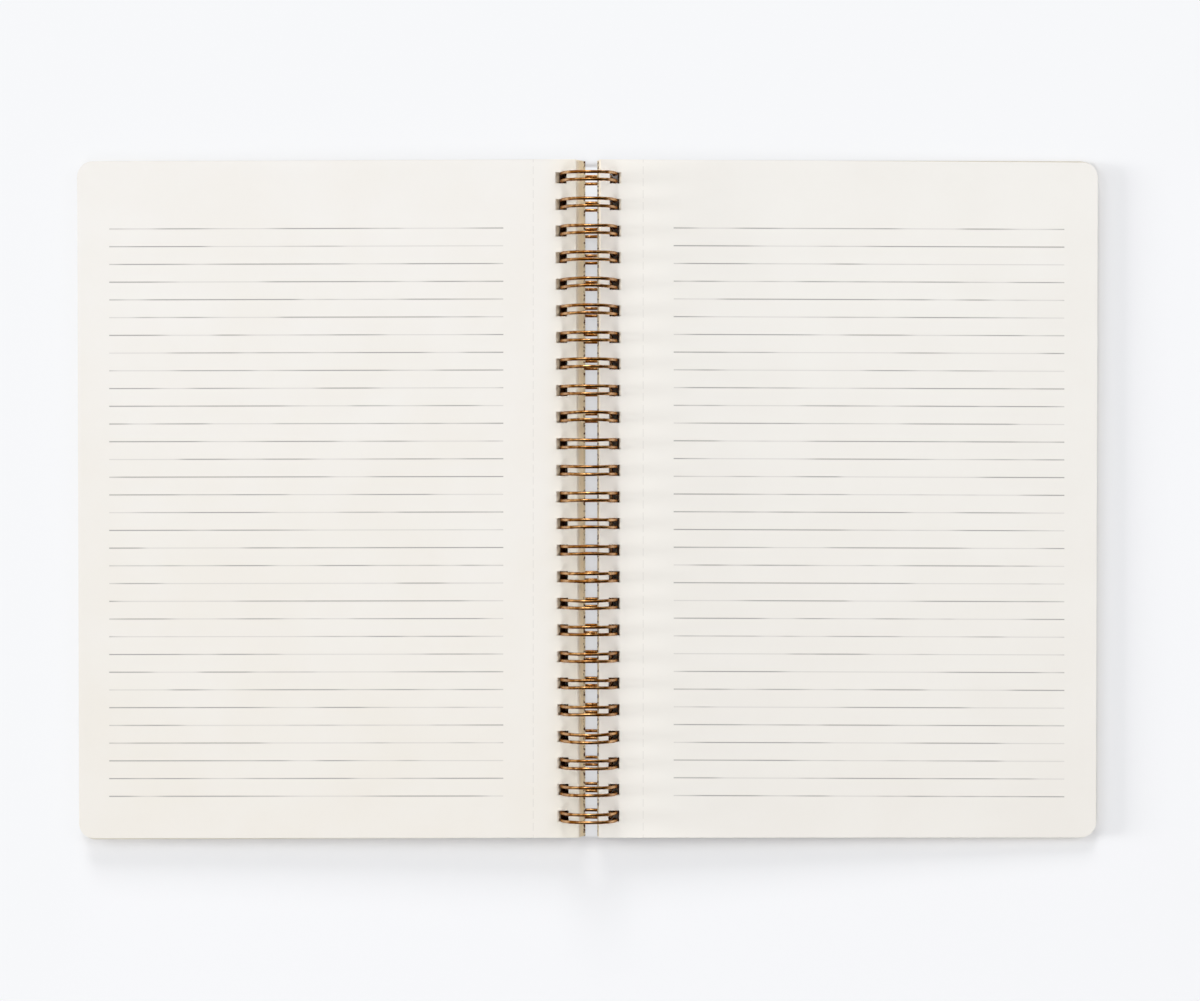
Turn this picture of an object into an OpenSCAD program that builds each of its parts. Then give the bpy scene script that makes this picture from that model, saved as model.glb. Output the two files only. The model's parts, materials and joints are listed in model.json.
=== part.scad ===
// Open notebook on a twin-loop wire, lying face up on a table.
// The ring axis runs along Y at x = 0. Each half of the book hangs on the ring and lies outwards
// and slightly downhill, from the wire at the spine to the cover's fore edge on the table.

/* [Sheets] */
// Width of a sheet, from its punched edge to its fore edge
page_w = 159.1; // [100:0.1:220]
// Height of a sheet, along the spine
page_h = 215.9; // [214:0.1:300]
// Radius of the two outer corners
corner_r = 4.8; // [2:0.05:12]
// Thickness of one sheet
sheet_t = 0.125; // [0.09:0.005:0.14]
// Number of sheets on the left side
left_sheet_count = 40; // [24:1:48]
// Number of sheets on the right side
right_sheet_count = 16; // [10:1:26]

/* [Punching] */
// Distance from one hole to the next, three to the inch
hole_pitch = 8.467; // [8.2:0.001:8.6]
// How far the row of holes sits above the middle of the sheet, towards its head
row_shift = 0.5; // [-1:0.05:1]
// Side of each square hole
hole_w = 3.6; // [3.55:0.05:4]
// Paper between a hole and the punched edge
land_w = 2.9; // [2.4:0.1:3]
// Least paper between the row of holes and either end of the sheet, with the row in the middle
end_land = 4; // [3:0.5:8]
// How far the left sheets hang inwards of the wire, at the middle of a hole
left_slack = 0.3; // [0:0.05:0.6]
// How far the right sheets hang inwards of the wire, at the middle of a hole
right_slack = 0.45; // [0:0.05:0.6]

/* [Covers] */
// Thickness of each cover board
cover_t = 1.2; // [0.8:0.05:1.6]
// Where the front cover's land hangs inside the loops, as an angle from their lowest point
front_hang = 31; // [28:0.1:36]
// Where the back cover's land hangs inside the loops, as an angle from their lowest point
back_hang = 45.4; // [42:0.1:47]

/* [Wire] */
// Radius of the closed loops, at the middle of the wire
loop_r = 8.7; // [8.6:0.05:9.4]
// Diameter of the wire
wire_d = 1; // [0.8:0.05:1.05]
// Distance between the two wires of one loop
leg_gap = 2.36; // [2.2:0.02:2.4]
// Radius of the bend from a loop into the bridge to its neighbour
root_bend_r = 0.9; // [0.8:0.05:1.1]
// Length of wire left past the first and the last loop
wire_stub = 0.5; // [0.3:0.1:1]

/* [Clearances] */
// Gap between sheets and the cover that they lie on
rest_gap = 0.2; // [0.1:0.05:0.3]
// Gap between the wire and the cover's land that hangs inside the loop
land_clear = 0.15; // [0.1:0.05:0.3]
// Gap above and below the bridges, where they lie between the last sheet and the back cover
seam_clear = 0.3; // [0.25:0.05:0.4]
// Gap between the loops' closed ends and the bridges
tip_clear = 0.3; // [0.2:0.05:0.5]

/* [Hidden] */
$fn = 96;
section_fn = 16;
wire_r = wire_d / 2;
leg_y = leg_gap / 2;
axis_z = loop_r + wire_r;
hole_count = 1 + floor((page_h - hole_w - 2 * end_land) / hole_pitch);
punched_l = hole_pitch * (hole_count - 1);
cut_past = 1;
// Stretches of wire meet inside a ball a hair larger than the wire, and stop just short of its middle
ball_swell = 0.01;
ball_inset = 0.01;

// The corner of each cover's land lies as far from the ring axis as the wire lets it. That gives
// how far the cover's punched edge stands out from the axis and how far its outer face lies below it
land_reach = loop_r - wire_r - land_clear;
front_edge = land_reach * sin(front_hang) - land_w;
back_edge = land_reach * sin(back_hang) - land_w;
front_drop = land_reach * cos(front_hang);
back_drop = land_reach * cos(back_hang);

// Angle by which a flat piece, drop below the axis and reach long, slopes to be down at its far end
function slope(reach, drop, down) = asin(down / norm([reach, drop])) - atan2(drop, reach);
front_slope = slope(front_edge + page_w, front_drop, axis_z);
back_slope = slope(back_edge + page_w, back_drop, axis_z);

// Seam of the loops, in the slope of the back cover: bridge height, then angles round the ring
bridge_r = norm([loop_r, root_bend_r]);
bridge_h = -back_drop + cover_t + wire_r + seam_clear;
bridge_a = asin(bridge_h / bridge_r);
root_a = bridge_a + atan2(root_bend_r, loop_r) - back_slope;
arc_to_a = 180 / (PI * loop_r);
tip_a = 360 + bridge_a - back_slope - (wire_d + tip_clear + leg_y) * arc_to_a;

// Height of the last right sheet over the bridges and their bends, and its slope down to the cover
right_drop = -(bridge_h + root_bend_r * cos(bridge_a) - wire_r * sin(bridge_a) + seam_clear / 2);
right_reach = sqrt(pow(loop_r, 2) - pow(right_drop, 2)) - right_slack - hole_w / 2 - land_w + page_w;
right_slope = back_slope + slope(right_reach, right_drop, back_drop - cover_t - rest_gap);
left_drop = front_drop - cover_t - rest_gap;

// Corners of a stack are cut in steps of a few sheets, each moved with the sheets it cuts
sheets_per_step = 8;

// Distance from the ring axis to the wire, at height h
function wire_x(h) = sqrt(pow(loop_r, 2) - pow(h, 2));

// Lays a piece on the table: turned down about the ring axis, on the right side or the left
module lie(angle, left = false) {
    translate([0, 0, axis_z])
        mirror([left ? 1 : 0, 0, 0])
            rotate([0, angle, 0])
                children();
}

// Place of one hole in the row, counted from the foot of the sheet
function hole_y(i) = row_shift + i * hole_pitch - punched_l / 2;

// Copies along the row of holes
module per_hole() {
    for (i = [0 : hole_count - 1])
        translate([0, hole_y(i), 0])
            children();
}

// Outline in X and height, drawn out along Y
module along_spine(length) {
    rotate([90, 0, 0])
        linear_extrude(height = length, center = true)
            children();
}

// One outer corner's waste: the square outside the rounding, with the corner at the origin
module corner_waste() {
    difference() {
        translate([-corner_r, -corner_r])
            square(corner_r + cut_past);
        translate([-corner_r, -corner_r])
            circle(corner_r);
    }
}

// Sheets that follow the ring: punched edge, holes and fore edge are arcs of the loop's radius
module sheet_stack(sheets, drop, slack) {
    stack_t = sheets * sheet_t;
    edge_in = slack + hole_w / 2 + land_w;
    hole_in = slack + hole_w / 2;
    difference() {
        along_spine(page_h)
            difference() {
                intersection() {
                    translate([0, -drop])
                        square([page_w + loop_r, stack_t]);
                    union() {
                        translate([page_w - edge_in, 0])
                            circle(loop_r);
                        translate([0, -loop_r])
                            square([page_w - edge_in, 2 * loop_r]);
                    }
                }
                translate([-edge_in, 0])
                    circle(loop_r);
            }
        per_hole()
            along_spine(hole_w)
                difference() {
                    translate([hole_w - hole_in, 0])
                        circle(loop_r);
                    translate([-hole_in, 0])
                        circle(loop_r);
                }
        stack_corners(sheets, drop, edge_in);
    }
}

// Cuts both outer corners of a stack, step by step up its height
module stack_corners(sheets, drop, edge_in) {
    steps = ceil(sheets / sheets_per_step);
    step_t = sheets * sheet_t / steps;
    for (i = [0 : steps - 1]) {
        middle_h = -drop + (i + 0.5) * step_t;
        below = i == 0 ? cut_past : 0;
        above = i == steps - 1 ? cut_past : 0;
        for (side = [0, 1])
            mirror([0, side, 0])
                translate([wire_x(middle_h) - edge_in + page_w, page_h / 2, -drop + i * step_t - below])
                    linear_extrude(height = step_t + below + above)
                        corner_waste();
    }
}

// Flat board with straight square holes, its outer face drop below the axis
module cover_board(edge, drop) {
    hole_x = edge + land_w + hole_w / 2;
    translate([0, 0, -drop])
        linear_extrude(height = cover_t)
            difference() {
                translate([edge, -page_h / 2])
                    square([page_w, page_h]);
                per_hole()
                    translate([hole_x, 0])
                        square(hole_w, center = true);
                for (side = [0, 1])
                    mirror([0, side])
                        translate([edge + page_w, page_h / 2])
                            corner_waste();
            }
}

// A bent stretch of wire: part of a torus round Z, from +X onwards
module bent_wire(radius, angle) {
    rotate_extrude(angle = angle)
        translate([radius, 0])
            circle(wire_r, $fn = section_fn);
}

// Moves to a place on the ring: X points outwards there, Z onwards round the ring
module on_ring(angle) {
    rotate([0, -angle, 0])
        translate([loop_r, 0, 0])
            children();
}

// Joins two stretches of wire
module wire_ball() {
    sphere(wire_r + ball_swell, $fn = section_fn);
}

// One wire of a loop, from its root round to where the closed end starts
module loop_leg() {
    rotate([0, -root_a, 0])
        rotate([90, 0, 0])
            bent_wire(loop_r, tip_a - root_a - ball_inset * arc_to_a);
    on_ring(tip_a)
        wire_ball();
}

// Closed end of a loop
module loop_tip() {
    on_ring(tip_a)
        rotate([90, 0, 90])
            bent_wire(leg_y, 180);
}

// Bend from the root of a wire out towards the neighbouring loop, and the wire past it
module loop_root(onward) {
    on_ring(root_a)
        translate([0, leg_y + root_bend_r, 0]) {
            rotate([90, 0, 90])
                rotate([0, 0, 180])
                    bent_wire(root_bend_r, 90);
            translate([0, 0, -root_bend_r])
                rotate([-90, 0, 0])
                    cylinder(h = onward, r = wire_r, $fn = section_fn);
        }
}

// Ball at the middle of the bridge to the next loop
module bridge_ball() {
    on_ring(root_a)
        translate([0, hole_pitch / 2, -root_bend_r])
            wire_ball();
}

// Half of one double loop, on the side of positive Y
module half_loop(onward) {
    translate([0, leg_y, 0])
        loop_leg();
    loop_root(onward);
}

module front_cover() {
    color("peru")
        lie(front_slope, left = true)
            cover_board(front_edge, front_drop);
}

module left_pages() {
    color("ivory")
        lie(front_slope, left = true)
            sheet_stack(left_sheet_count, left_drop, left_slack);
}

module right_pages() {
    color("ivory")
        lie(right_slope)
            sheet_stack(right_sheet_count, right_drop, right_slack);
}

module back_cover() {
    color("peru")
        lie(back_slope)
            cover_board(back_edge, back_drop);
}

module wire() {
    half_bridge = (hole_pitch - leg_gap) / 2 - root_bend_r - ball_inset;
    last = hole_count - 1;
    color("darkgoldenrod")
        translate([0, 0, axis_z])
            for (i = [0 : last])
                translate([0, hole_y(i), 0]) {
                    loop_tip();
                    half_loop(i == last ? wire_stub : half_bridge);
                    mirror([0, 1, 0])
                        half_loop(i == 0 ? wire_stub : half_bridge);
                    if (i < last)
                        bridge_ball();
                }
}

front_cover();
left_pages();
right_pages();
back_cover();
wire();
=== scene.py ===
"""Looks of an open wire-bound notebook: two stacks of ruled sheets, two boards and a brass wire.

Lengths are millimetres until a mesh is finished. A stack is worked out as if its half of the book
lay level, with X outwards from the ring's axis and Z up from it, and is then laid down.
"""

import json
import logging
import math
import random
from dataclasses import dataclass
from enum import Enum

import bmesh
import bpy
from mathutils import Matrix, Vector

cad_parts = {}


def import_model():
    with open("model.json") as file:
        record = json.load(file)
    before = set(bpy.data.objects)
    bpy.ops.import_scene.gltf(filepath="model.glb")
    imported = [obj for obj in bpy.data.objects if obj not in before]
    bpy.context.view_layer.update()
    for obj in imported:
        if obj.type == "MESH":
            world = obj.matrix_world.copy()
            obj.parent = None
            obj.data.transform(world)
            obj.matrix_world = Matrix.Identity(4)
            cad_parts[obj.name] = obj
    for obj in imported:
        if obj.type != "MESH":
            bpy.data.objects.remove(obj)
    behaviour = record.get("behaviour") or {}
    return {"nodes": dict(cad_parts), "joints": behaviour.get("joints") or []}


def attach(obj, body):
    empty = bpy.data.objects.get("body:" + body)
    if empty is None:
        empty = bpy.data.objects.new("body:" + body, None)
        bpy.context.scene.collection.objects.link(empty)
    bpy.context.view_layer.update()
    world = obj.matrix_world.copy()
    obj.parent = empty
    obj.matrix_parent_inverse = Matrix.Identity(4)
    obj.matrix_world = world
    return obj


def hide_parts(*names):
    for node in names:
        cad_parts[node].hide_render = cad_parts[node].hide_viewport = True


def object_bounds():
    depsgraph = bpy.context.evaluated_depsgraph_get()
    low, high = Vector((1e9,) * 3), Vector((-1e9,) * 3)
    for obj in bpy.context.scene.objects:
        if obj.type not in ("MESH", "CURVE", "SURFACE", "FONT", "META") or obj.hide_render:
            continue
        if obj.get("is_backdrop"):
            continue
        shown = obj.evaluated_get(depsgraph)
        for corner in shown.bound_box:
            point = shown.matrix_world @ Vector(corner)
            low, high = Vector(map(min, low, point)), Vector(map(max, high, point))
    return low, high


LOG = logging.getLogger("notebook")
MM = 0.001
# Width over which a sharp border between two tones fades
CRISP = 0.1
# A face is an underside up to the first Z of its normal, and no longer at all past the second
UNDERSIDE_FROM = -0.6
UNDERSIDE_TO = -0.4
Socket = bpy.types.NodeSocket


class Side(Enum):
    """The two halves of the open book, by the sign of their X."""

    LEFT = -1
    RIGHT = 1


@dataclass(frozen=True)
class Lay:
    """How a flat node lies: its slope down from the ring's axis, and its extent before that slope."""

    side: Side
    axis_z: float
    slope: float
    low: Vector
    high: Vector

    @classmethod
    def of_node(cls, node: bpy.types.Object, side: Side, axis_z: float) -> "Lay":
        """Reads the lie of a node from its largest faces.

        Args:
            node: a sheet stack of the frame.
            side: the half of the book that it is on.
            axis_z: height of the ring's axis, in millimetres.

        Returns:
            The node's lie, in millimetres and radians.
        """
        upward = 0.9
        top = Vector()
        for face in node.data.polygons:
            if face.normal.z > upward:
                top += face.normal * face.area
        slope = math.atan2(top.x * side.value, top.z)
        level = cls(side, axis_z, slope, Vector(), Vector()).to_book().inverted()
        points = [level @ (vertex.co / MM) for vertex in node.data.vertices]
        low = Vector(min(p[i] for p in points) for i in range(3))
        high = Vector(max(p[i] for p in points) for i in range(3))
        return cls(side, axis_z, slope, low, high)

    def to_book(self) -> Matrix:
        """Lays a level piece down about the ring's axis, on its side of the book.

        Returns:
            The matrix that does it, in millimetres.
        """
        turned = Matrix.Rotation(self.slope, 4, "Y")
        mirrored = Matrix.Diagonal((self.side.value, 1, 1, 1))
        return Matrix.Translation((0, 0, self.axis_z)) @ mirrored @ turned


@dataclass(frozen=True)
class Punching:
    """The row of square holes that all sheets and boards share, as the part has it."""

    count: int = 25
    pitch: float = 8.467
    side: float = 3.6
    row_shift: float = 0.5

    def places(self) -> list[float]:
        """Y of each hole's middle, from foot to head."""
        half = (self.count - 1) / 2
        return [self.row_shift + (i - half) * self.pitch for i in range(self.count)]


def linear(colour: str) -> tuple[float, float, float, float]:
    """Turns an sRGB hex colour into the linear values that a shader takes.

    Args:
        colour: six hex digits after a hash sign.

    Returns:
        Linear red, green and blue, and an alpha of one.
    """
    channels = (int(colour[i : i + 2], 16) / 255 for i in (1, 3, 5))
    red, green, blue = (c / 12.92 if c <= 0.04045 else ((c + 0.055) / 1.055) ** 2.4 for c in channels)
    return red, green, blue, 1.0


class Graph:
    """The nodes of one material or world.

    Sockets go by their number where a node has several of one name. A MapRange takes a value at 0,
    its range at 1 and 2, and what the two ends turn to at 3 and 4. A Mix takes its factor at 0, and
    two numbers at 2 and 3 or two colours at 6 and 7.
    """

    def __init__(self, tree: bpy.types.NodeTree) -> None:
        """Starts from an empty tree."""
        tree.nodes.clear()
        self.tree = tree

    def add(
        self,
        kind: str,
        inputs: dict[int | str, object] | None = None,
        out: int | str = 0,
        **settings: object,
    ) -> Socket | None:
        """Adds a node with its settings and links.

        Args:
            kind: the node's type, without the word ShaderNode before it.
            inputs: what each socket takes, a value or another node's output.
            out: which output is wanted.
            settings: the node's own properties.

        Returns:
            The wanted output, or None from a node that has no output.
        """
        node = self.tree.nodes.new("ShaderNode" + kind)
        for name, value in settings.items():
            setattr(node, name, value)
        for socket, value in (inputs or {}).items():
            if isinstance(value, bpy.types.NodeSocket):
                self.tree.links.new(value, node.inputs[socket])
            else:
                node.inputs[socket].default_value = value
        return node.outputs[out] if len(node.outputs) else None

    def sum_of(self, *terms: tuple[Socket | float, float]) -> Socket:
        """Adds up sockets, each times a factor.

        Args:
            terms: pairs of a socket or a number, and its factor.

        Returns:
            The socket that holds the sum.
        """
        total = 0.0
        for socket, factor in terms:
            total = self.add("Math", {0: socket, 1: factor, 2: total}, operation="MULTIPLY_ADD")
        return total

    def band(self, value: Socket, low: float, high: float, soft: float) -> Socket:
        """A mask that is one between two limits and fades out past them.

        Args:
            value: the socket that is compared.
            low: where the band starts.
            high: where the band ends.
            soft: the width over which each end fades.

        Returns:
            The mask's socket.
        """
        rise = self.add("MapRange", {0: value, 1: low - soft, 2: low}, interpolation_type="SMOOTHSTEP")
        fall = self.add("MapRange", {0: value, 1: high + soft, 2: high}, interpolation_type="SMOOTHSTEP")
        return self.add("Math", {0: rise, 1: fall}, operation="MULTIPLY")


def new_material(name: str) -> tuple[bpy.types.Material, Graph]:
    """Makes an empty node material.

    Args:
        name: the material's own name.

    Returns:
        The material and its graph.
    """
    material = bpy.data.materials.new(name)
    material.use_nodes = True
    return material, Graph(material.node_tree)


def place_in_mm(graph: Graph) -> tuple[Socket, Socket, Socket, Socket]:
    """The surface's place in the object's frame, in millimetres.

    Args:
        graph: the graph that gets the nodes.

    Returns:
        The whole vector, then its X, Y and Z.
    """
    place = graph.add("VectorMath", {0: graph.add("TexCoord", out="Object"), 3: 1 / MM}, operation="SCALE")
    parts = graph.add("SeparateXYZ", {0: place}).node.outputs
    return place, parts[0], parts[1], parts[2]


def not_underside(graph: Graph) -> Socket:
    """A mask that is one on all faces but those that look down."""
    facing = graph.add("SeparateXYZ", {0: graph.add("TexCoord", out="Normal")}, out=2)
    return graph.add("MapRange", {0: facing, 1: UNDERSIDE_FROM, 2: UNDERSIDE_TO})


@dataclass(frozen=True)
class RuledPaper:
    """Uncoated wood-free writing paper, offset-ruled: matt, faintly cloudy, with a soft tooth."""

    name: str
    side: Side
    # Where each line starts and ends, outwards from the ring's axis, and where the outer two lines are
    ruled_from: float
    ruled_to: float
    first_line: float
    last_line: float
    # Turn of the lines in the plane, in degrees
    tilt: float
    # Growth of the line pitch outwards, per millimetre, because the fore edge stands up a little
    spread: float
    # Distance of the perforation from the ring's axis
    perforation: float
    # Place in the noise from which the patches of the ruling are taken
    seed: float
    # Painted light and shade by the punched edge, where the loops shade the sheet: a warm tone that lifts
    # the loops' cast shadows, and how far out it reaches
    spine: str
    spine_light_reach: float
    # The painted light and shade by the spine is full at this distance, with this share
    spine_light_full: float = 3.0
    spine_light_share: float = 0.75
    cream: str = "#F5F2EC"
    # Deeper tone, of the clouds in the pulp and of the painted shade towards the foot
    cloud_and_shade_tone: str = "#E9E1D2"
    # Length of the clouds in the pulp, the noise between which they grow, and their share of the deeper tone
    cloud: float = 26.0
    cloud_from: float = 0.35
    cloud_to: float = 0.65
    cloud_share: float = 0.14
    # Painted shade: the sheet is drawn a little darker towards its foot, where less light falls
    head: float = 100.0
    foot: float = -100.0
    foot_shade_share: float = 0.3
    # Tooth of the paper, drawn coarser than the real one so that it shows, and its depth
    tooth: float = 0.35
    tooth_depth: float = 0.02
    ink: str = "#A8A39E"
    # The ruled lines: their number, their width, and how softly they end
    lines: int = 33
    line_width: float = 0.24
    line_end: float = 0.15
    # Length of the patches where the ink starved, the noise between which it returns, and the least of it
    patch: float = 34.0
    patch_from: float = 0.42
    patch_to: float = 0.56
    faintest: float = 0.3
    # Step in that noise from one line to the next
    line_step: float = 7.31
    # Slits of the perforation: half their spacing, the share of it left whole, their half width, how softly
    # they end, and how much ink they look like
    dash: float = 1.9
    uncut: float = 0.35
    slit_half: float = 0.1
    slit_soft: float = 0.12
    slit_share: float = 0.16
    # Painted light and shade on the cut edges: depths below the top sheet between which a cut edge's tone,
    # lighter than the sheet, comes in, and then deepens into warmer painted shade
    edge: str = "#FFF8EC"
    cut_from: float = 0.06
    cut_to: float = 0.12
    shaded_cut_edge: str = "#F3E2C2"
    cut_shade_from: float = 0.5
    cut_shade_to: float = 4.0
    # Tone of the cut edges away from the spine: where it is full, and the way over which it comes in
    outer_edge: str = "#DAD3C4"
    outer_from: float = 20.0
    outer_over: float = 8.0
    # The holes lie between these, and are drawn dark brown from this depth, over this much more of it, as
    # painted shade
    pit: str = "#4A2C18"
    hole_from: float = 4.4
    hole_to: float = 10.6
    hole_shade_from: float = 3.0
    hole_shade_over: float = 0.8

    def build(self, lay: Lay) -> bpy.types.Material:
        """Makes the material.

        Args:
            lay: how the stack lies, which gives the depth below its top sheet.

        Returns:
            The finished material.
        """
        material, graph = new_material(self.name)
        place, x, y, z = place_in_mm(graph)
        across = graph.add("Math", {0: x, 1: float(self.side.value)}, operation="MULTIPLY")
        page = self._sheet_tone(graph, place, y)
        page = self._spine_light(graph, page, across)
        spread = graph.sum_of((across, self.spread), (1.0, 1.0))
        level = graph.add("Math", {0: y, 1: spread}, operation="DIVIDE")
        level = graph.sum_of((level, 1.0), (x, -math.tan(math.radians(self.tilt))))
        page = self._ruling(graph, page, across, level)
        page = self._perforation(graph, page, across, y)
        crown = lay.axis_z + lay.high.z / math.cos(lay.slope)
        depth = graph.sum_of((1.0, crown), (across, -math.tan(lay.slope)), (z, -1.0))
        page = self._cut_edges(graph, page, across, depth)
        tooth = graph.add("TexNoise", {"Vector": place, "Scale": 1 / self.tooth, "Detail": 2.0})
        bump = {"Height": tooth, "Strength": 0.12, "Distance": self.tooth_depth * MM}
        shader = graph.add(
            "BsdfPrincipled",
            {
                "Base Color": page,
                "Roughness": 0.82,
                "Specular IOR Level": 0.3,
                "Normal": graph.add("Bump", bump),
            },
        )
        graph.add("OutputMaterial", {0: shader})
        return material

    def _sheet_tone(self, graph: Graph, place: Socket, y: Socket) -> Socket:
        """Mixes the bare sheet's cream, cloudy, and a little darker towards the foot as painted shade.

        Args:
            graph: the graph that gets the nodes.
            place: the surface's place.
            y: the same place along the spine.

        Returns:
            The colour's socket.
        """
        clouds = graph.add("TexNoise", {"Vector": place, "Scale": 1 / self.cloud, "Detail": 3.0})
        cloudy = graph.add(
            "MapRange", {0: clouds, 1: self.cloud_from, 2: self.cloud_to, 3: 0.0, 4: self.cloud_share}
        )
        # Painted shade: darker towards the foot
        deeper = graph.add("MapRange", {0: y, 1: self.head, 2: self.foot, 3: 0.0, 4: self.foot_shade_share})
        tone = graph.add("Math", {0: cloudy, 1: deeper})
        return graph.add(
            "Mix", {0: tone, 6: linear(self.cream), 7: linear(self.cloud_and_shade_tone)}, out=2, data_type="RGBA"
        )

    def _spine_light(self, graph: Graph, page: Socket, across: Socket) -> Socket:
        """Paints light and shade on the sheet towards the punched edge, where the loops shade it: a warm
        tone that lifts their shadows.

        Args:
            graph: the graph that gets the nodes.
            page: colour of the bare sheet.
            across: distance from the ring's axis.

        Returns:
            The colour's socket.
        """
        # Painted light and shade: the warm tone by the spine
        near = graph.add(
            "MapRange",
            {0: across, 1: self.spine_light_reach, 2: self.spine_light_full, 3: 0.0, 4: self.spine_light_share},
            interpolation_type="SMOOTHSTEP",
        )
        return graph.add("Mix", {0: near, 6: page, 7: linear(self.spine)}, out=2, data_type="RGBA")

    def _ruling(self, graph: Graph, page: Socket, across: Socket, level: Socket) -> Socket:
        """Draws the ruled lines, each with patches where the ink is faint.

        Args:
            graph: the graph that gets the nodes.
            page: colour of the bare sheet.
            across: distance from the ring's axis.
            level: place along the spine, true to the lines' turn and spread.

        Returns:
            The colour's socket.
        """
        pitch = (self.first_line - self.last_line) / (self.lines - 1)
        count = graph.sum_of((level, 1 / pitch), (1.0, -self.last_line / pitch))
        nearest = graph.add("Math", {0: count}, operation="ROUND")
        off = graph.add("Math", {0: count, 1: nearest}, operation="SUBTRACT")
        off = graph.add("Math", {0: off}, operation="ABSOLUTE")
        off = graph.add("Math", {0: off, 1: pitch}, operation="MULTIPLY")
        mask = graph.band(off, -1.0, self.line_width / 2, self.line_width / 3)
        # The count of a line is a whole number, so any share of one keeps the outer two in
        share = 0.3
        rows = graph.band(nearest, -share, self.lines - 1 + share, CRISP)
        width = graph.band(across, self.ruled_from, self.ruled_to, self.line_end)
        along = graph.sum_of((across, 1 / self.patch))
        row = graph.sum_of((nearest, self.line_step), (1.0, self.seed))
        place = graph.add("CombineXYZ", {0: along, 1: row})
        patches = graph.add("TexNoise", {"Vector": place, "Scale": 1.0, "Detail": 2.0})
        inked = graph.add(
            "MapRange",
            {0: patches, 1: self.patch_from, 2: self.patch_to, 3: self.faintest, 4: 1.0},
            interpolation_type="SMOOTHSTEP",
        )
        for part in (rows, width, inked):
            mask = graph.add("Math", {0: mask, 1: part}, operation="MULTIPLY")
        return graph.add("Mix", {0: mask, 6: page, 7: linear(self.ink)}, out=2, data_type="RGBA")

    def _perforation(self, graph: Graph, page: Socket, across: Socket, y: Socket) -> Socket:
        """Draws the row of fine slits along which a sheet tears out.

        Args:
            graph: the graph that gets the nodes.
            page: colour of the ruled sheet.
            across: distance from the ring's axis.
            y: place along the spine.

        Returns:
            The colour's socket.
        """
        low = self.perforation - self.slit_half
        high = self.perforation + self.slit_half
        slit = graph.band(across, low, high, self.slit_soft)
        phase = graph.add("Math", {0: y, 1: self.dash}, operation="PINGPONG")
        dash = graph.band(phase, self.dash * self.uncut, self.dash * 2, CRISP)
        mask = graph.add("Math", {0: slit, 1: dash}, operation="MULTIPLY")
        mask = graph.add("Math", {0: mask, 1: self.slit_share}, operation="MULTIPLY")
        return graph.add("Mix", {0: mask, 6: page, 7: linear(self.ink)}, out=2, data_type="RGBA")

    def _cut_edges(self, graph: Graph, page: Socket, across: Socket, depth: Socket) -> Socket:
        """Paints light and shade on the cut edges, lighter at the top sheet and darker and warmer with
        depth, and dark brown shade in the depths of the holes.

        Args:
            graph: the graph that gets the nodes.
            page: colour of an uncut face.
            across: distance from the ring's axis.
            depth: distance below the top sheet.

        Returns:
            The colour's socket. A face that looks down, the back of the last sheet, stays as it is.
        """
        cut = graph.add("MapRange", {0: depth, 1: self.cut_from, 2: self.cut_to})
        cut = graph.add("Math", {0: cut, 1: not_underside(graph)}, operation="MULTIPLY")
        # Painted shade: the depths of the holes are drawn dark brown
        hole = graph.band(across, self.hole_from, self.hole_to, CRISP)
        deep = graph.add("MapRange", {0: depth, 1: self.hole_shade_from, 2: self.hole_shade_from + self.hole_shade_over})
        pit = graph.add("Math", {0: hole, 1: deep}, operation="MULTIPLY")
        # Painted shade: the cut edges are drawn darker and warmer with depth
        low = graph.add("MapRange", {0: depth, 1: self.cut_shade_from, 2: self.cut_shade_to})
        edge = graph.add(
            "Mix", {0: low, 6: linear(self.edge), 7: linear(self.shaded_cut_edge)}, out=2, data_type="RGBA"
        )
        edge = graph.add("Mix", {0: pit, 6: edge, 7: linear(self.pit)}, out=2, data_type="RGBA")
        outer = graph.add("MapRange", {0: across, 1: self.outer_from - self.outer_over, 2: self.outer_from})
        edge = graph.add("Mix", {0: outer, 6: edge, 7: linear(self.outer_edge)}, out=2, data_type="RGBA")
        return graph.add("Mix", {0: cut, 6: page, 7: edge}, out=2, data_type="RGBA")


LEFT_PAPER = RuledPaper(
    name="ruled_paper_left",
    side=Side.LEFT,
    ruled_from=27.3,
    ruled_to=152.9,
    first_line=86.15,
    last_line=-94.66,
    tilt=0.1,
    spread=5e-6,
    perforation=17.7,
    seed=3.0,
    spine="#F5EFE0",
    spine_light_reach=16.0,
    # Painted shade: the same cream, drawn a little darker on the left, where the light is stronger
    cream="#F3F0EB",
)
RIGHT_PAPER = RuledPaper(
    name="ruled_paper_right",
    side=Side.RIGHT,
    ruled_from=27.1,
    ruled_to=152.0,
    first_line=86.2,
    last_line=-94.44,
    tilt=-0.2,
    spread=3e-5,
    perforation=17.3,
    seed=41.0,
    spine="#FCF8F0",
    spine_light_reach=48.0,
    # Painted light: the deeper tone is drawn lighter on the right than on the left
    cloud_and_shade_tone="#EAE4DB",
)


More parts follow.
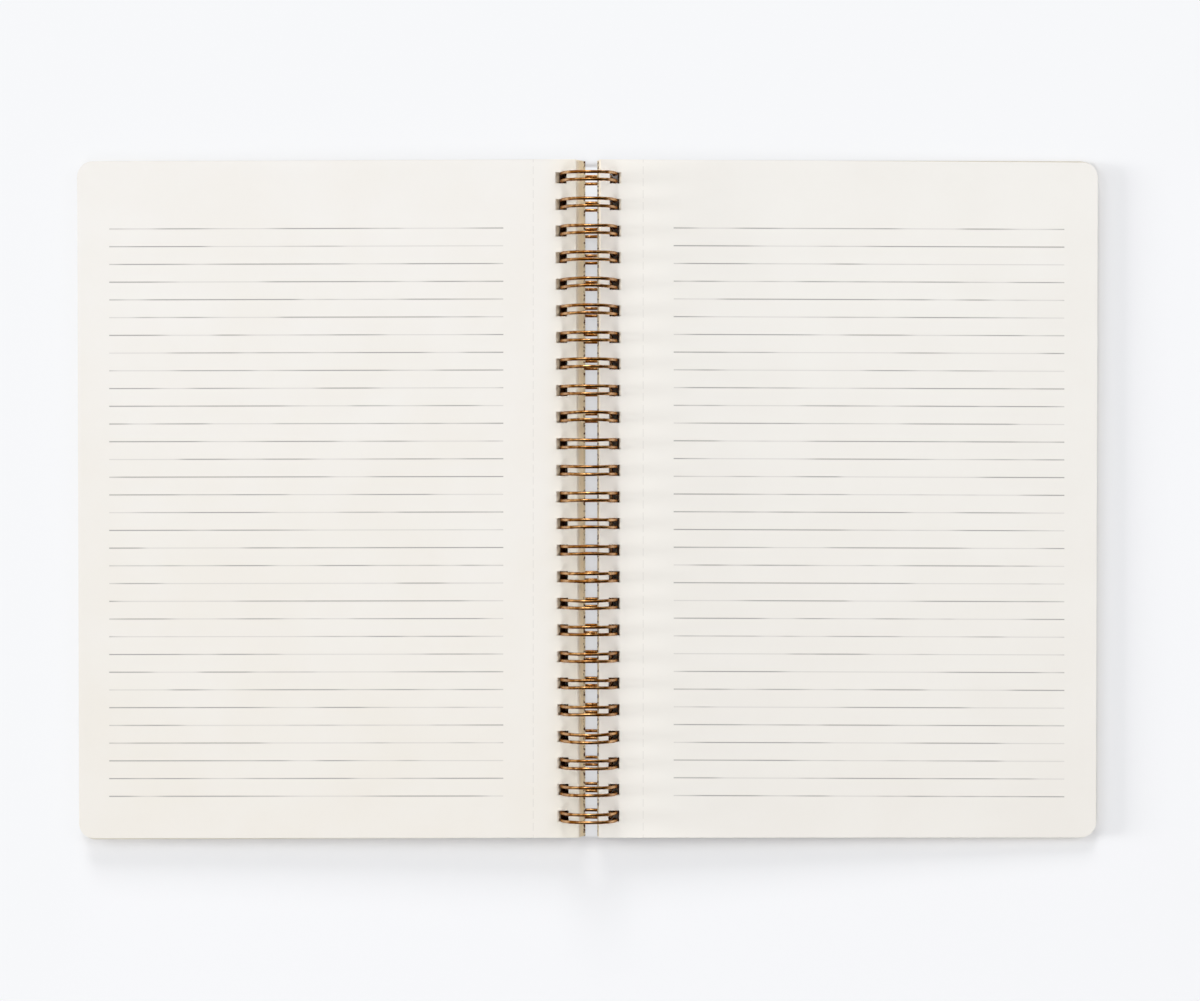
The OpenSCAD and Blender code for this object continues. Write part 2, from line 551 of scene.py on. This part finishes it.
@dataclass(frozen=True)
class CoveredBoard:
    """Cream board covered outside in dark brown paper, which frays dark along the punched edge, with painted
    shade in that brown over the holes inside.
    """

    name: str
    # Distance of the punched edge from the ring's axis
    edge: float
    skin: str = "#4A2716"
    worn: str = "#5E3520"
    lining: str = "#E0CFAF"
    # Grain of the covering, drawn coarse enough to show, the noise between which it is worn, and its depth
    grain: float = 0.5
    worn_from: float = 0.35
    worn_to: float = 0.7
    grain_depth: float = 0.05
    # Size of the brown specks along the punched edge, the noise between which they grow, and the width of
    # their strip and of its fading side
    speck: float = 0.9
    speck_from: float = 0.54
    speck_to: float = 0.58
    strip: float = 0.8
    strip_soft: float = 0.3
    # Painted shade: the inner face is drawn in the covering's dark brown over the holes, between these
    # distances and this far from the middle
    strip_shade_from: float = 3.4
    strip_shade_to: float = 12.0
    strip_shade_half: float = 105.5

    def build(self) -> bpy.types.Material:
        """Makes the material.

        Returns:
            The finished material.
        """
        material, graph = new_material(self.name)
        place, x, y, _ = place_in_mm(graph)
        across = graph.add("Math", {0: x}, operation="ABSOLUTE")
        grain = graph.add("TexNoise", {"Vector": place, "Scale": 1 / self.grain, "Detail": 4.0})
        worn = graph.add("MapRange", {0: grain, 1: self.worn_from, 2: self.worn_to})
        skin = graph.add(
            "Mix", {0: worn, 6: linear(self.skin), 7: linear(self.worn)}, out=2, data_type="RGBA"
        )
        # Painted shade: the inner face is drawn dark brown over the holes
        turned = self._strip_shade(graph, across, y)
        specks = self._specks(graph, place, across)
        dark = graph.add("Math", {0: turned, 1: specks}, operation="MAXIMUM")
        bare = graph.add("Math", {0: 1.0, 1: dark}, operation="SUBTRACT")
        bare = graph.add("Math", {0: not_underside(graph), 1: bare}, operation="MULTIPLY")
        colour = graph.add("Mix", {0: bare, 6: skin, 7: linear(self.lining)}, out=2, data_type="RGBA")
        bump = {"Height": grain, "Strength": 0.3, "Distance": self.grain_depth * MM}
        shader = graph.add(
            "BsdfPrincipled",
            {
                "Base Color": colour,
                "Roughness": 0.85,
                "Specular IOR Level": 0.1,
                "Normal": graph.add("Bump", bump),
            },
        )
        graph.add("OutputMaterial", {0: shader})
        return material

    def _strip_shade(self, graph: Graph, across: Socket, y: Socket) -> Socket:
        """Mask of the strip of painted shade over the holes, drawn in the covering's dark brown.

        Args:
            graph: the graph that gets the nodes.
            across: distance from the ring's axis.
            y: place along the spine.

        Returns:
            The mask's socket.
        """
        width = graph.band(across, self.strip_shade_from, self.strip_shade_to, CRISP)
        length = graph.band(y, -self.strip_shade_half, self.strip_shade_half, CRISP)
        return graph.add("Math", {0: width, 1: length}, operation="MULTIPLY")

    def _specks(self, graph: Graph, place: Socket, across: Socket) -> Socket:
        """Mask of the frayed specks along the punched edge.

        Args:
            graph: the graph that gets the nodes.
            place: the surface's place.
            across: distance from the ring's axis.

        Returns:
            The mask's socket.
        """
        specks = graph.add("TexNoise", {"Vector": place, "Scale": 1 / self.speck, "Detail": 2.0})
        specks = graph.add("MapRange", {0: specks, 1: self.speck_from, 2: self.speck_to})
        strip = graph.band(across, 0.0, self.edge + self.strip, self.strip_soft)
        return graph.add("Math", {0: specks, 1: strip}, operation="MULTIPLY")


@dataclass(frozen=True)
class AntiqueBrass:
    """Brass-plated steel wire under tinted lacquer: gold where it is worn, brown where it is not."""

    name: str = "antique_brass_wire"
    bright: str = "#E2B175"
    dull: str = "#8D561D"
    # What its gloss turns to where the eye grazes it
    rim: str = "#7E532B"
    # Size of the worn spots, the noise between which they grow, and the roughness off and on them
    mottle: float = 1.6
    worn_from: float = 0.42
    worn_to: float = 0.66
    dull_rough: float = 0.3
    worn_rough: float = 0.18
    # Painted reflection where the loops turn down into the holes: it starts and is full this far from the
    # axis
    end_sheen: str = "#E6C6A6"
    end_sheen_from: float = 5.9
    end_sheen_to: float = 7.3
    end_sheen_share: float = 0.6

    def build(self) -> bpy.types.Material:
        """Makes the material.

        Returns:
            The finished material.
        """
        material, graph = new_material(self.name)
        place, x, _, _ = place_in_mm(graph)
        mottle = graph.add("TexNoise", {"Vector": place, "Scale": 1 / self.mottle, "Detail": 3.0})
        worn = graph.add("MapRange", {0: mottle, 1: self.worn_from, 2: self.worn_to})
        colour = graph.add(
            "Mix", {0: worn, 6: linear(self.dull), 7: linear(self.bright)}, out=2, data_type="RGBA"
        )
        across = graph.add("Math", {0: x}, operation="ABSOLUTE")
        # Painted reflection: paler where the loops turn down into the holes
        end_sheen = graph.add(
            "MapRange", {0: across, 1: self.end_sheen_from, 2: self.end_sheen_to, 3: 0.0, 4: self.end_sheen_share}
        )
        colour = graph.add("Mix", {0: end_sheen, 6: colour, 7: linear(self.end_sheen)}, out=2, data_type="RGBA")
        shader = graph.add(
            "BsdfPrincipled",
            {
                "Base Color": colour,
                "Metallic": 1.0,
                "Specular Tint": linear(self.rim),
                "Roughness": graph.add("MapRange", {0: worn, 3: self.dull_rough, 4: self.worn_rough}),
            },
        )
        graph.add("OutputMaterial", {0: shader})
        return material


@dataclass(frozen=True)
class PaleTable:
    """Matt white table top, as product shots have it: pure beside the lit edges, shaded past the others."""

    name: str = "pale_table"
    # Colour that it shows by itself, and that it shows in the book's shadow
    colour: str = "#F7F8FA"
    shadow: str = "#F7F7F8"
    # Share of its own colour that rays from the camera and mirrors see: beyond the book's left edge and
    # head, beyond its right edge and foot, and in the gap at its spine. Under the book it is none
    lit_side: float = 0.85
    shaded_side: float = 0.0
    # Painted light: the table's own colour shows at this share in the gap, in the book's shade
    gap_light_share: float = 0.56
    # Painted light: the gap is drawn brighter towards the head, between these distances from its end
    head_light_share: float = 0.93
    head_from: float = 26.0
    head_to: float = 5.0
    gap_from: float = -1.2
    gap_to: float = 2.8
    # What the book hides starts this far inside its outline, apart from its foot, and fades in before that
    tuck: float = 2.0
    tuck_soft: float = 1.0
    # Softness of the borders by the book's corners, and its growth with the distance from them
    soft: float = 1.5
    blur: float = 0.6

    def build(self, book: tuple[Vector, Vector]) -> bpy.types.Material:
        """Makes the material.

        Args:
            book: lowest and highest corner of what lies on the table, in metres.

        Returns:
            The finished material.
        """
        material, graph = new_material(self.name)
        _, x, y, _ = place_in_mm(graph)
        low, high = (corner / MM for corner in book)
        left = graph.sum_of((x, -1.0), (1.0, low.x))
        left = self._past(graph, left, graph.sum_of((y, -1.0), (1.0, low.y)))
        head = graph.sum_of((y, 1.0), (1.0, -high.y))
        head = self._past(graph, head, graph.sum_of((x, 1.0), (1.0, -high.x)))
        lit = graph.add("Math", {0: left, 1: head}, operation="MAXIMUM")
        beside = graph.add("MapRange", {0: lit, 3: self.shaded_side, 4: self.lit_side})
        across = graph.band(x, low.x + self.tuck, high.x - self.tuck, self.tuck_soft)
        along = graph.band(y, low.y, high.y - self.tuck, self.tuck_soft)
        under = graph.add("Math", {0: across, 1: along}, operation="MULTIPLY")
        plain = graph.add("Mix", {0: under, 2: beside, 3: self._gap(graph, x, y, high.y)})
        path = graph.add("LightPath").node.outputs
        rays = path["Is Camera Ray"]
        for kind in ("Is Glossy Ray", "Is Transmission Ray"):
            rays = graph.add("Math", {0: rays, 1: path[kind]}, operation="MAXIMUM")
        matt = graph.add("BsdfDiffuse", {"Color": linear(self.shadow)})
        glow = graph.add("Emission", {"Color": linear(self.colour), "Strength": 1.0})
        seen = graph.add("Math", {0: plain, 1: rays}, operation="MULTIPLY")
        graph.add("OutputMaterial", {0: graph.add("MixShader", {0: seen, 1: matt, 2: glow})})
        return material

    def _gap(self, graph: Graph, x: Socket, y: Socket, head: float) -> Socket:
        """Painted light that the table shows in the gap at the spine, as a share of its own colour.

        Args:
            graph: the graph that gets the nodes.
            x: place across the book.
            y: place along the spine.
            head: where the book's head is.

        Returns:
            The share's socket, which is none beside the gap.
        """
        start = head - self.head_from
        end = head - self.head_to
        # Painted light in the gap, brighter towards the head
        shine = graph.add(
            "MapRange",
            {0: y, 1: start, 2: end, 3: self.gap_light_share, 4: self.head_light_share},
            interpolation_type="SMOOTHSTEP",
        )
        gap = graph.band(x, self.gap_from, self.gap_to, CRISP)
        return graph.add("Math", {0: gap, 1: shine}, operation="MULTIPLY")

    def _past(self, graph: Graph, outside: Socket, beyond: Socket) -> Socket:
        """Mask of the table past one edge of the book, which blurs with the distance from it.

        Args:
            graph: the graph that gets the nodes.
            outside: distance outside the edge's line.
            beyond: distance beyond the edge's end.

        Returns:
            The mask's socket.
        """
        away = graph.add("Math", {0: beyond, 1: 0.0}, operation="MAXIMUM")
        blur = graph.sum_of((away, self.blur), (1.0, self.soft))
        ratio = graph.add("Math", {0: outside, 1: blur}, operation="DIVIDE")
        return graph.add("MapRange", {0: ratio, 1: -1.0, 2: 1.0}, interpolation_type="SMOOTHSTEP")


def mesh_object(name: str, mesh: bmesh.types.BMesh, material: bpy.types.Material) -> bpy.types.Object:
    """Turns a finished bmesh in millimetres into an object in metres at the origin.

    Args:
        name: the piece's name.
        mesh: its shape, which is freed.
        material: its finish.

    Returns:
        The new object, linked to the scene.
    """
    bmesh.ops.scale(mesh, vec=(MM, MM, MM), verts=mesh.verts)
    data = bpy.data.meshes.new(name)
    mesh.to_mesh(data)
    mesh.free()
    data.materials.append(material)
    piece = bpy.data.objects.new(name, data)
    bpy.context.scene.collection.objects.link(piece)
    return piece


@dataclass(frozen=True)
class Cover:
    """One cover board, which keeps the shape that the part gives it."""

    node: str

    def build(self, board: bpy.types.Object) -> bpy.types.Object:
        """Gives the board its finish, which frays along its own punched edge.

        Args:
            board: the frame's object of this node.

        Returns:
            The same object.
        """
        edge = min(abs(vertex.co.x) for vertex in board.data.vertices) / MM
        board.data.materials.clear()
        board.data.materials.append(CoveredBoard(f"covered_board_{self.node}", edge).build())
        return board


@dataclass
class SheetStack:
    """One half's sheets, each of them cut and laid by itself."""

    name: str
    node: str
    body: str
    lay: Lay
    punching: Punching
    sheets: int
    # How far the sheets hang inwards of the wire, at the middle of a hole
    slack: float
    loop_radius: float
    # Turn that the sheets reach at the top, in degrees, from none at the lowest
    skew: float
    # Turn of the few topmost sheets, and their shift away from the spine
    top_skew: float
    top_shift: float
    seed: int
    top_sheets: int = 3
    corner: float = 4.8
    corner_steps: int = 10
    # Share of a sheet's place that is paper. The rest is the air that parts it from the next
    solid: float = 0.86
    # How far, and by how many degrees, a sheet may lie off its place
    slip: float = 0.05
    turn: float = 0.02

    def build(self, paper: RuledPaper) -> bpy.types.Object:
        """Cuts the sheets, lays them round the ring and dresses them.

        Args:
            paper: the finish of the sheets.

        Returns:
            The piece, riding on its body in place of the plain stack.
        """
        shape = self._sheets()
        shape.transform(self.lay.to_book())
        bmesh.ops.recalc_face_normals(shape, faces=shape.faces)
        piece = mesh_object(self.name, shape, paper.build(self.lay))
        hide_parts(self.node)
        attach(piece, self.body)
        return piece

    def _sheets(self) -> bmesh.types.BMesh:
        """Stacks copies of the blank, each moved with the ring's curve and a little off true.

        Returns:
            The stack, as if its half of the book lay level.
        """
        draws = random.Random(self.seed)
        step = (self.lay.high.z - self.lay.low.z) / self.sheets
        stack = self._blank(step * self.solid)
        blank = stack.verts[:] + stack.edges[:] + stack.faces[:]
        for i in range(self.sheets):
            height = self.lay.low.z + i * step
            edge = self._ring_x(height + step / 2) - self._inset()
            out = edge + draws.uniform(-self.slip, self.slip)
            along = draws.uniform(-self.slip, self.slip)
            turn = math.radians(self.skew * i / self.sheets + draws.uniform(-self.turn, self.turn))
            if i >= self.sheets - self.top_sheets:
                turn = math.radians(self.top_skew)
                out = edge + self.top_shift
            copy = bmesh.ops.duplicate(stack, geom=blank)["geom"] if i + 1 < self.sheets else blank
            verts = [v for v in copy if isinstance(v, bmesh.types.BMVert)]
            moved = Matrix.Translation((out, along, height)) @ Matrix.Rotation(turn, 4, "Z")
            bmesh.ops.transform(stack, matrix=moved, verts=verts)
        return stack

    def _ring_x(self, height: float) -> float:
        """Distance from the ring's axis to the wire, at a height from the axis."""
        return math.sqrt(self.loop_radius**2 - height**2)

    def _inset(self) -> float:
        """How far the punched edge of a sheet lies inwards of the wire."""
        return self._ring_x(self.lay.low.z) - self.lay.low.x

    def _blank(self, thickness: float) -> bmesh.types.BMesh:
        """One sheet with its punched edge on X = 0: outline, rounded corners, square holes.

        Args:
            thickness: the sheet's own, without air.

        Returns:
            The sheet, with its underside at Z = 0.
        """
        mesh = bmesh.new()
        width = self.lay.high.x - (self._ring_x(self.lay.high.z) - self._inset())
        height = self.lay.high.y - self.lay.low.y
        outline = bmesh.ops.create_grid(mesh, x_segments=1, y_segments=1, size=0.5)["verts"]
        bmesh.ops.scale(mesh, vec=(width, height, 1), verts=outline)
        bmesh.ops.translate(mesh, vec=(width / 2, 0, 0), verts=outline)
        bmesh.ops.bevel(
            mesh,
            geom=[v for v in outline if v.co.x > width / 2],
            offset=self.corner,
            segments=self.corner_steps,
            profile=0.5,
            affect="VERTICES",
            material=-1,
        )
        hole_x = self._inset() - self.slack
        half = self.punching.side / 2
        for y in self.punching.places():
            hole = bmesh.ops.create_grid(mesh, x_segments=1, y_segments=1, size=half)["verts"]
            bmesh.ops.translate(mesh, vec=(hole_x, y, 0), verts=hole)
        bmesh.ops.delete(mesh, geom=mesh.faces[:], context="FACES_ONLY")
        bmesh.ops.triangle_fill(mesh, use_beauty=True, edges=mesh.edges[:], normal=(0, 0, 1))
        walls = bmesh.ops.extrude_face_region(mesh, geom=mesh.faces[:])["geom"]
        upper = [v for v in walls if isinstance(v, bmesh.types.BMVert)]
        bmesh.ops.translate(mesh, vec=(0, 0, thickness), verts=upper)
        return mesh


@dataclass
class TwinLoopWire:
    """One length of wire bent into double loops, each a little off true as bent wire is."""

    axis_z: float
    punching: Punching
    radius: float = 8.7
    thickness: float = 1.0
    # Distance between the two legs of a loop, radius of a leg's bend into the bridge to the next loop,
    # and length of wire past the first and the last loop
    legs: float = 2.36
    bend: float = 0.9
    stub: float = 0.5
    # Degrees round the ring, from +X upwards, where the bends end and where the closed end starts
    root: float = -20.03
    tip: float = 317.73
    # How far a loop's top may stand off along the spine, and how much narrower than true it may be, or half
    # of that wider. Both grow with this power of the height above the axis
    lean: float = 0.22
    squeeze: float = 0.16
    growth: int = 4
    # Degrees from point to point round the ring, steps of each bend, and how finely the wire is round
    step: float = 5.0
    bend_steps: int = 6
    roundness: int = 4
    seed: int = 5

    def build(self, finish: AntiqueBrass) -> bpy.types.Object:
        """Bends the wire, gives it its thickness and dresses it.

        Args:
            finish: the finish of the wire.

        Returns:
            The piece, riding on its body in place of the plain wire.
        """
        path = self._path()
        curve = bpy.data.curves.new("wire_path", "CURVE")
        curve.dimensions = "3D"
        curve.bevel_depth = self.thickness / 2 * MM
        curve.bevel_resolution = self.roundness
        curve.use_fill_caps = True
        spline = curve.splines.new("POLY")
        spline.points.add(len(path) - 1)
        for point, place in zip(spline.points, path):
            point.co = (*(place * MM), 1.0)
        holder = bpy.data.objects.new("wire_path", curve)
        data = bpy.data.meshes.new_from_object(holder)
        bpy.data.objects.remove(holder)
        data.name = "twin_loop_wire"
        data.shade_smooth()
        data.materials.clear()
        data.materials.append(finish.build())
        piece = bpy.data.objects.new("twin_loop_wire", data)
        bpy.context.scene.collection.objects.link(piece)
        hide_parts("wire")
        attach(piece, "binding")
        return piece

    def _path(self) -> list[Vector]:
        """Middle line of the whole wire.

        Returns:
            Its points, from foot to head.
        """
        draws = random.Random(self.seed)
        places = self.punching.places()
        past = self.legs / 2 + self.bend + self.stub
        path = [self._ring_point(self.root, places[0] - past, -self.bend)]
        for y in places:
            lean = draws.uniform(-self.lean, self.lean)
            squeeze = draws.uniform(-self.squeeze, self.squeeze / 2)
            path += self._half_loop(y, -1, lean, squeeze)
            path += reversed(self._half_loop(y, 1, lean, squeeze))
        path.append(self._ring_point(self.root, places[-1] + past, -self.bend))
        return path

    def _half_loop(self, y: float, way: int, lean: float, squeeze: float) -> list[Vector]:
        """One leg of a loop, from the bridge to the middle of the closed end.

        Args:
            y: the middle of the loop.
            way: -1 for the leg nearer the foot, 1 for the other.
            lean: how far the top of the loop stands off along the spine.
            squeeze: how much wider than true the loop is at its top.

        Returns:
            The leg's points.
        """
        half = self.legs / 2
        points = []
        for i in range(self.bend_steps + 1):
            turn = math.pi / 2 * i / self.bend_steps
            along = half + self.bend * (1 - math.sin(turn))
            back = -self.bend * math.cos(turn)
            points.append(self._ring_point(self.root, y + way * along, back))
        arcs = round((self.tip - self.root) / self.step)
        for i in range(1, arcs + 1):
            angle = self.root + (self.tip - self.root) * i / arcs
            bulge = max(0.0, math.sin(math.radians(angle))) ** self.growth
            off = lean * bulge + way * (half + squeeze * bulge / 2)
            points.append(self._ring_point(angle, y + off, 0))
        for i in range(1, self.bend_steps + 1):
            turn = math.pi / 2 * i / self.bend_steps
            along = way * half * math.cos(turn)
            points.append(self._ring_point(self.tip, y + along, half * math.sin(turn)))
        return points

    def _ring_point(self, angle: float, y: float, onward: float) -> Vector:
        """A point on the ring, and a way onward from it along its tangent.

        Args:
            angle: degrees round the ring, from +X upwards.
            y: place along the spine.
            onward: how far to go on along the tangent.

        Returns:
            The point, in millimetres.
        """
        turn = math.radians(angle)
        outward = Vector((math.cos(turn), 0, math.sin(turn)))
        forward = Vector((-math.sin(turn), 0, math.cos(turn)))
        return outward * self.radius + forward * onward + Vector((0, y, self.axis_z))


@dataclass(frozen=True)
class Lamp:
    """A square softbox that gives a share of the light on level paper at the book."""

    name: str
    share: float
    # Degrees round from +X and up from the table
    azimuth: float
    elevation: float
    # Metres from the book, and across
    distance: float
    size: float
    # Whether the wire mirrors it
    mirrored: bool = True

    def build(self) -> None:
        """Hangs the softbox and aims it at the book."""
        light = bpy.data.lights.new(self.name, "AREA")
        light.shape = "SQUARE"
        light.size = self.size
        height = math.sin(math.radians(self.elevation))
        # A lamp of P watts gives P cos / (pi d^2) on the paper, and pi there renders a colour as written
        light.energy = math.pi**2 * self.distance**2 * self.share / height
        holder = bpy.data.objects.new(self.name, light)
        flat = math.cos(math.radians(self.elevation))
        turn = math.radians(self.azimuth)
        place = Vector((flat * math.cos(turn), flat * math.sin(turn), height)) * self.distance
        aim = place.to_track_quat("Z", "Y").to_matrix().to_4x4()
        holder.matrix_world = Matrix.Translation(place) @ aim
        holder.visible_camera = False
        holder.visible_glossy = self.mirrored
        bpy.context.scene.collection.objects.link(holder)


@dataclass
class Studio:
    """Table, room light and lamps, and the camera over the open book."""

    # Width of the picture at the height of the sheets, and where the camera is
    frame_width: float = 381.9
    sensor: float = 36.0
    camera_height: float = 1000.0
    sheets_height: float = 8.7
    camera_x: float = 3.56
    camera_y: float = -0.64
    # Half the table's side and how far the camera sees, in metres
    floor_half: float = 6.0
    sight: float = 100.0
    room: str = "#F1F3F7"
    room_strength: float = 0.365
    # What the wire mirrors: a dim room, bright towards the windows at the head and on the left. It turns
    # bright between these two shares of that way
    window_way: tuple[float, float, float] = (-0.45, 0.85, 0.0)
    window_from: float = -0.15
    window_to: float = 0.5
    dim_end: float = 0.0
    bright_end: float = 1.2
    lamps: tuple[Lamp, ...] = (
        Lamp("left_window", share=0.14, azimuth=180, elevation=14, distance=9.0, size=2.1, mirrored=False),
        Lamp("head_window", share=0.15, azimuth=97, elevation=28, distance=7.0, size=2.5),
        Lamp("right_softbox", share=0.16, azimuth=20, elevation=52, distance=6.0, size=2.6, mirrored=False),
        Lamp("left_softbox", share=0.085, azimuth=155, elevation=42, distance=6.0, size=1.8, mirrored=False),
        Lamp("foot_softbox", share=0.18, azimuth=255, elevation=62, distance=6.0, size=2.0, mirrored=False),
    )

    def build(self, book: tuple[Vector, Vector]) -> None:
        """Sets the table, the light and the camera.

        Args:
            book: lowest and highest corner of the book, in metres.
        """
        self._table(book)
        self._room()
        for lamp in self.lamps:
            lamp.build()
        self._camera()

    def _table(self, book: tuple[Vector, Vector]) -> None:
        """Lays the table top under the book.

        Args:
            book: lowest and highest corner of the book, in metres.
        """
        mesh = bmesh.new()
        bmesh.ops.create_grid(mesh, x_segments=1, y_segments=1, size=self.floor_half / MM)
        mesh_object("table_top", mesh, PaleTable().build(book))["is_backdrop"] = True

    def _room(self) -> None:
        """Fills the room with even, faint light, and with windows for the wire to mirror."""
        world = bpy.data.worlds.new("room")
        bpy.context.scene.world = world
        world.use_nodes = True
        graph = Graph(world.node_tree)
        way = graph.add("TexCoord", out="Generated")
        facing = graph.add("VectorMath", {0: way, 1: self.window_way}, out="Value", operation="DOT_PRODUCT")
        mirrored = graph.add(
            "MapRange",
            {0: facing, 1: self.window_from, 2: self.window_to, 3: self.dim_end, 4: self.bright_end},
            interpolation_type="SMOOTHSTEP",
        )
        path = graph.add("LightPath").node.outputs
        strength = graph.add("Mix", {0: path["Is Glossy Ray"], 2: self.room_strength, 3: mirrored})
        strength = graph.add("Mix", {0: path["Is Camera Ray"], 2: strength, 3: 1.0})
        graph.add("OutputWorld", {0: graph.add("Background", {0: linear(self.room), 1: strength})})

    def _camera(self) -> None:
        """Hangs the camera over the book, looking straight down."""
        camera = bpy.data.cameras.new("camera")
        camera.sensor_width = self.sensor
        camera.lens = self.sensor * self.camera_height / self.frame_width
        camera.clip_end = self.sight
        holder = bpy.data.objects.new("camera", camera)
        height = self.camera_height + self.sheets_height
        holder.location = Vector((self.camera_x, self.camera_y, height)) * MM
        bpy.context.scene.collection.objects.link(holder)
        bpy.context.scene.camera = holder
        bpy.context.scene.view_settings.view_transform = "Standard"


def main() -> None:
    """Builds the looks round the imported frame, piece by piece."""
    logging.basicConfig(level=logging.INFO, format="%(name)s: %(message)s")
    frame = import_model()
    cad_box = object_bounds()
    nodes = frame["nodes"]
    axis_z = frame["joints"][0]["pos_m"][2] / MM
    punching = Punching()
    wire = TwinLoopWire(axis_z, punching)
    left_sheets = SheetStack(
        name="left_sheets",
        node="left_pages",
        body="left_pages",
        lay=Lay.of_node(nodes["left_pages"], Side.LEFT, axis_z),
        punching=punching,
        sheets=40,
        slack=0.3,
        loop_radius=wire.radius,
        skew=-0.32,
        top_skew=-0.17,
        top_shift=0.15,
        seed=11,
    )
    right_sheets = SheetStack(
        name="right_sheets",
        node="right_pages",
        body="right_pages",
        lay=Lay.of_node(nodes["right_pages"], Side.RIGHT, axis_z),
        punching=punching,
        sheets=16,
        slack=0.45,
        loop_radius=wire.radius,
        skew=-0.1,
        top_skew=-0.17,
        top_shift=0.0,
        seed=23,
    )
    pieces = [Cover(name).build(nodes[name]) for name in ("front_cover", "back_cover")]
    pieces += [left_sheets.build(LEFT_PAPER), right_sheets.build(RIGHT_PAPER), wire.build(AntiqueBrass())]
    for piece in pieces:
        LOG.info("%s: %d faces", piece.name, len(piece.data.polygons))
    Studio().build(cad_box)


if __name__ == "__main__":
    main()
